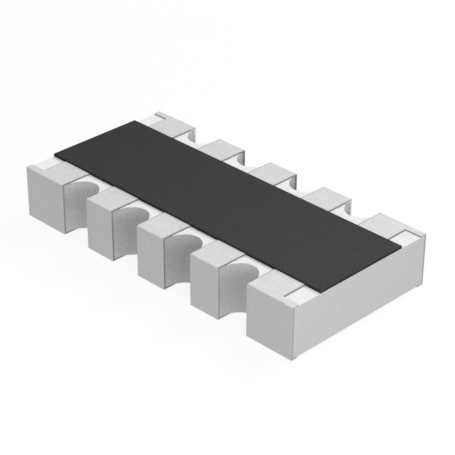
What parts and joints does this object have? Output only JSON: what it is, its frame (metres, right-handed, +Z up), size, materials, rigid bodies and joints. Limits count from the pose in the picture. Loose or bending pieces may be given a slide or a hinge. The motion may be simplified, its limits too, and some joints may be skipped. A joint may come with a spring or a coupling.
{
  "type": "chip resistor network",
  "caption": "Flat ceramic chip resistor network with wrapped solder terminals and rounded notches along both long sides, and a black coat over its printed resistors.",
  "frame": {"origin": "centre of the footprint, on the solder plane under the terminals", "axes": "+Z up from the circuit board through the black coat, +X along the chip from terminal 1 to terminal 5, +Y from the front row (1 to 5) to the back row (6 to 10)"},
  "size_m": [0.0032, 0.0016, 0.0005],
  "materials": {
    "alumina": "fired, fine-grained and matte",
    "tin": "matte electroplated tin",
    "black_coat": "satin printed resin",
    "nickel": "satin electroplated nickel",
    "silver_film": "fired silver thick film",
    "resistor_film": "fired ruthenium oxide thick film",
    "inner_glass": "fired glass glaze"
  },
  "bodies": {
    "root": {"ceramic_substrate": "alumina", "common_bus": "silver_film", "inner_glass": "inner_glass", "protective_overcoat": "black_coat", "bottom_electrode_1": "silver_film", "side_electrode_1": "silver_film", "nickel_barrier_1": "nickel", "terminal_1": "tin", "bottom_electrode_2": "silver_film", "side_electrode_2": "silver_film", "nickel_barrier_2": "nickel", "terminal_2": "tin", "bottom_electrode_3": "silver_film", "side_electrode_3": "silver_film", "nickel_barrier_3": "nickel", "terminal_3": "tin", "bottom_electrode_4": "silver_film", "side_electrode_4": "silver_film", "nickel_barrier_4": "nickel", "terminal_4": "tin", "bottom_electrode_5": "silver_film", "side_electrode_5": "silver_film", "nickel_barrier_5": "nickel", "terminal_5": "tin", "bottom_electrode_6": "silver_film", "side_electrode_6": "silver_film", "nickel_barrier_6": "nickel", "terminal_6": "tin", "bottom_electrode_7": "silver_film", "side_electrode_7": "silver_film", "nickel_barrier_7": "nickel", "terminal_7": "tin", "bottom_electrode_8": "silver_film", "side_electrode_8": "silver_film", "nickel_barrier_8": "nickel", "terminal_8": "tin", "bottom_electrode_9": "silver_film", "side_electrode_9": "silver_film", "nickel_barrier_9": "nickel", "terminal_9": "tin", "bottom_electrode_10": "silver_film", "side_electrode_10": "silver_film", "nickel_barrier_10": "nickel", "terminal_10": "tin", "top_electrode_1": "silver_film", "resistor_element_1": "resistor_film", "top_electrode_2": "silver_film", "resistor_element_2": "resistor_film", "top_electrode_3": "silver_film", "resistor_element_3": "resistor_film", "top_electrode_4": "silver_film", "resistor_element_4": "resistor_film", "top_electrode_6": "silver_film", "resistor_element_6": "resistor_film", "top_electrode_7": "silver_film", "resistor_element_7": "resistor_film", "top_electrode_8": "silver_film", "resistor_element_8": "resistor_film", "top_electrode_9": "silver_film", "resistor_element_9": "resistor_film"}
  },
  "joints": []
}
